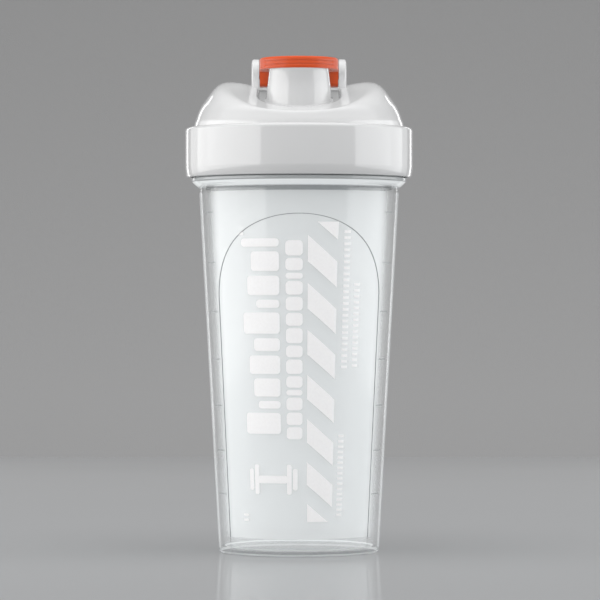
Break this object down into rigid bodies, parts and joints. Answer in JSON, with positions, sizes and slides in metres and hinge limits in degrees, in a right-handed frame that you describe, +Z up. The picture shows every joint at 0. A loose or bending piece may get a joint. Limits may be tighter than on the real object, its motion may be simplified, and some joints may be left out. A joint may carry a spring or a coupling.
{
  "type": "shaker bottle",
  "caption": "Tapered clear shaker cup with a white screw lid, drinking spout and a flip cap that hinges between two ears.",
  "frame": {"origin": "centre of the circle that the cup stands on", "axes": "+Z up along the bottle's axis, -Y towards the drinking spout, +X to the right of someone facing the spout"},
  "size_m": [0.1026, 0.1026, 0.2217],
  "materials": {
    "clear_plastic": "clear, slightly milky, glossy",
    "white_plastic": "glossy white",
    "grey_plastic": "satin grey",
    "orange_plastic": "satin orange",
    "silicone": "matte, translucent grey-white"
  },
  "bodies": {
    "cup": {"cup": "clear_plastic", "strainer": "grey_plastic"},
    "gasket": {"lid_gasket": "silicone"},
    "lid": {"lid": "white_plastic"},
    "flip_cap": {"flip_cap": "orange_plastic", "spout_seal": "silicone"}
  },
  "joints": [
    {"name": "lid_rise", "type": "slide", "parent": "cup", "child": "gasket", "axis": [0, 0, 1], "range_m": [0, 0.0075]},
    {"name": "lid_turn", "type": "hinge", "parent": "gasket", "child": "lid", "pos_m": [0, 0, 0.18], "axis": [0, 0, 1], "range_deg": [0, 540]},
    {"name": "flip_cap_hinge", "type": "hinge", "parent": "lid", "child": "flip_cap", "pos_m": [0, 0.001, 0.2151], "axis": [-1, 0, 0], "range_deg": [0, 165]}
  ],
  "couplings": [
    {"joint": "lid_rise", "follows": "lid_turn", "m_per_rad": 0.00079577}
  ]
}
